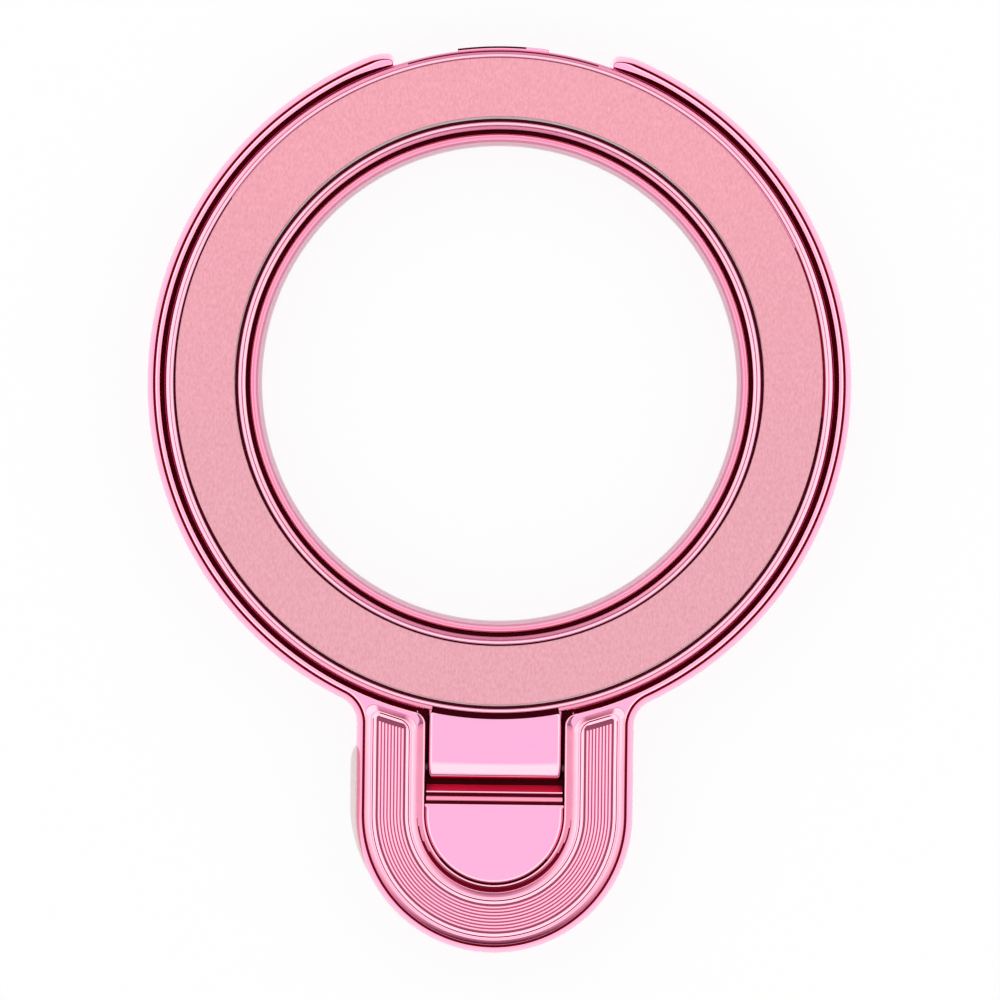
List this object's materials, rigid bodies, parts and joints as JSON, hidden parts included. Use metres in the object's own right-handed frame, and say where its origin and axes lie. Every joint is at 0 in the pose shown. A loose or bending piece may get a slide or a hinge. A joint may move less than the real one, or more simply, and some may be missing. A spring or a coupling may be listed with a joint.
{
  "type": "phone ring stand",
  "caption": "Thin round stand that sticks to the back of a phone. A magnetic ring with a soft facing nests in a tray and flips up on a hinge set in a ribbed tab.",
  "frame": {"origin": "centre of the bounding box seen from the front, on the face of the adhesive that meets the phone", "axes": "+X to the right, +Y from the hinged tab towards the open top of the ring, +Z out of the adhesive towards the pad"},
  "size_m": [0.0624, 0.0804, 0.0047],
  "materials": {
    "plated_plastic": "mirror-bright pink metal plating on moulded plastic",
    "facing": "matt salmon facing with a fine weave",
    "steel": "ground",
    "magnet": "nickel plated",
    "adhesive": "soft matt acrylic foam, off-white"
  },
  "bodies": {
    "base": {"base_tray": "plated_plastic", "hinge_cover": "plated_plastic", "hinge_pin": "steel", "adhesive_ring": "adhesive", "adhesive_tab": "adhesive"},
    "ring": {"flip_ring": "plated_plastic", "ring_pad": "facing", "ring_magnet_01": "magnet", "ring_magnet_02": "magnet", "ring_magnet_03": "magnet", "ring_magnet_04": "magnet", "ring_magnet_05": "magnet", "ring_magnet_06": "magnet", "ring_magnet_07": "magnet", "ring_magnet_08": "magnet", "ring_magnet_09": "magnet", "ring_magnet_10": "magnet", "ring_magnet_11": "magnet", "ring_magnet_12": "magnet", "ring_magnet_13": "magnet", "ring_magnet_14": "magnet", "ring_magnet_15": "magnet", "ring_magnet_16": "magnet"}
  },
  "joints": [
    {"name": "ring_flip", "type": "hinge", "parent": "base", "child": "ring", "pos_m": [0, -0.0237, 0.00285], "axis": [1, 0, 0], "range_deg": [0, 110]}
  ]
}
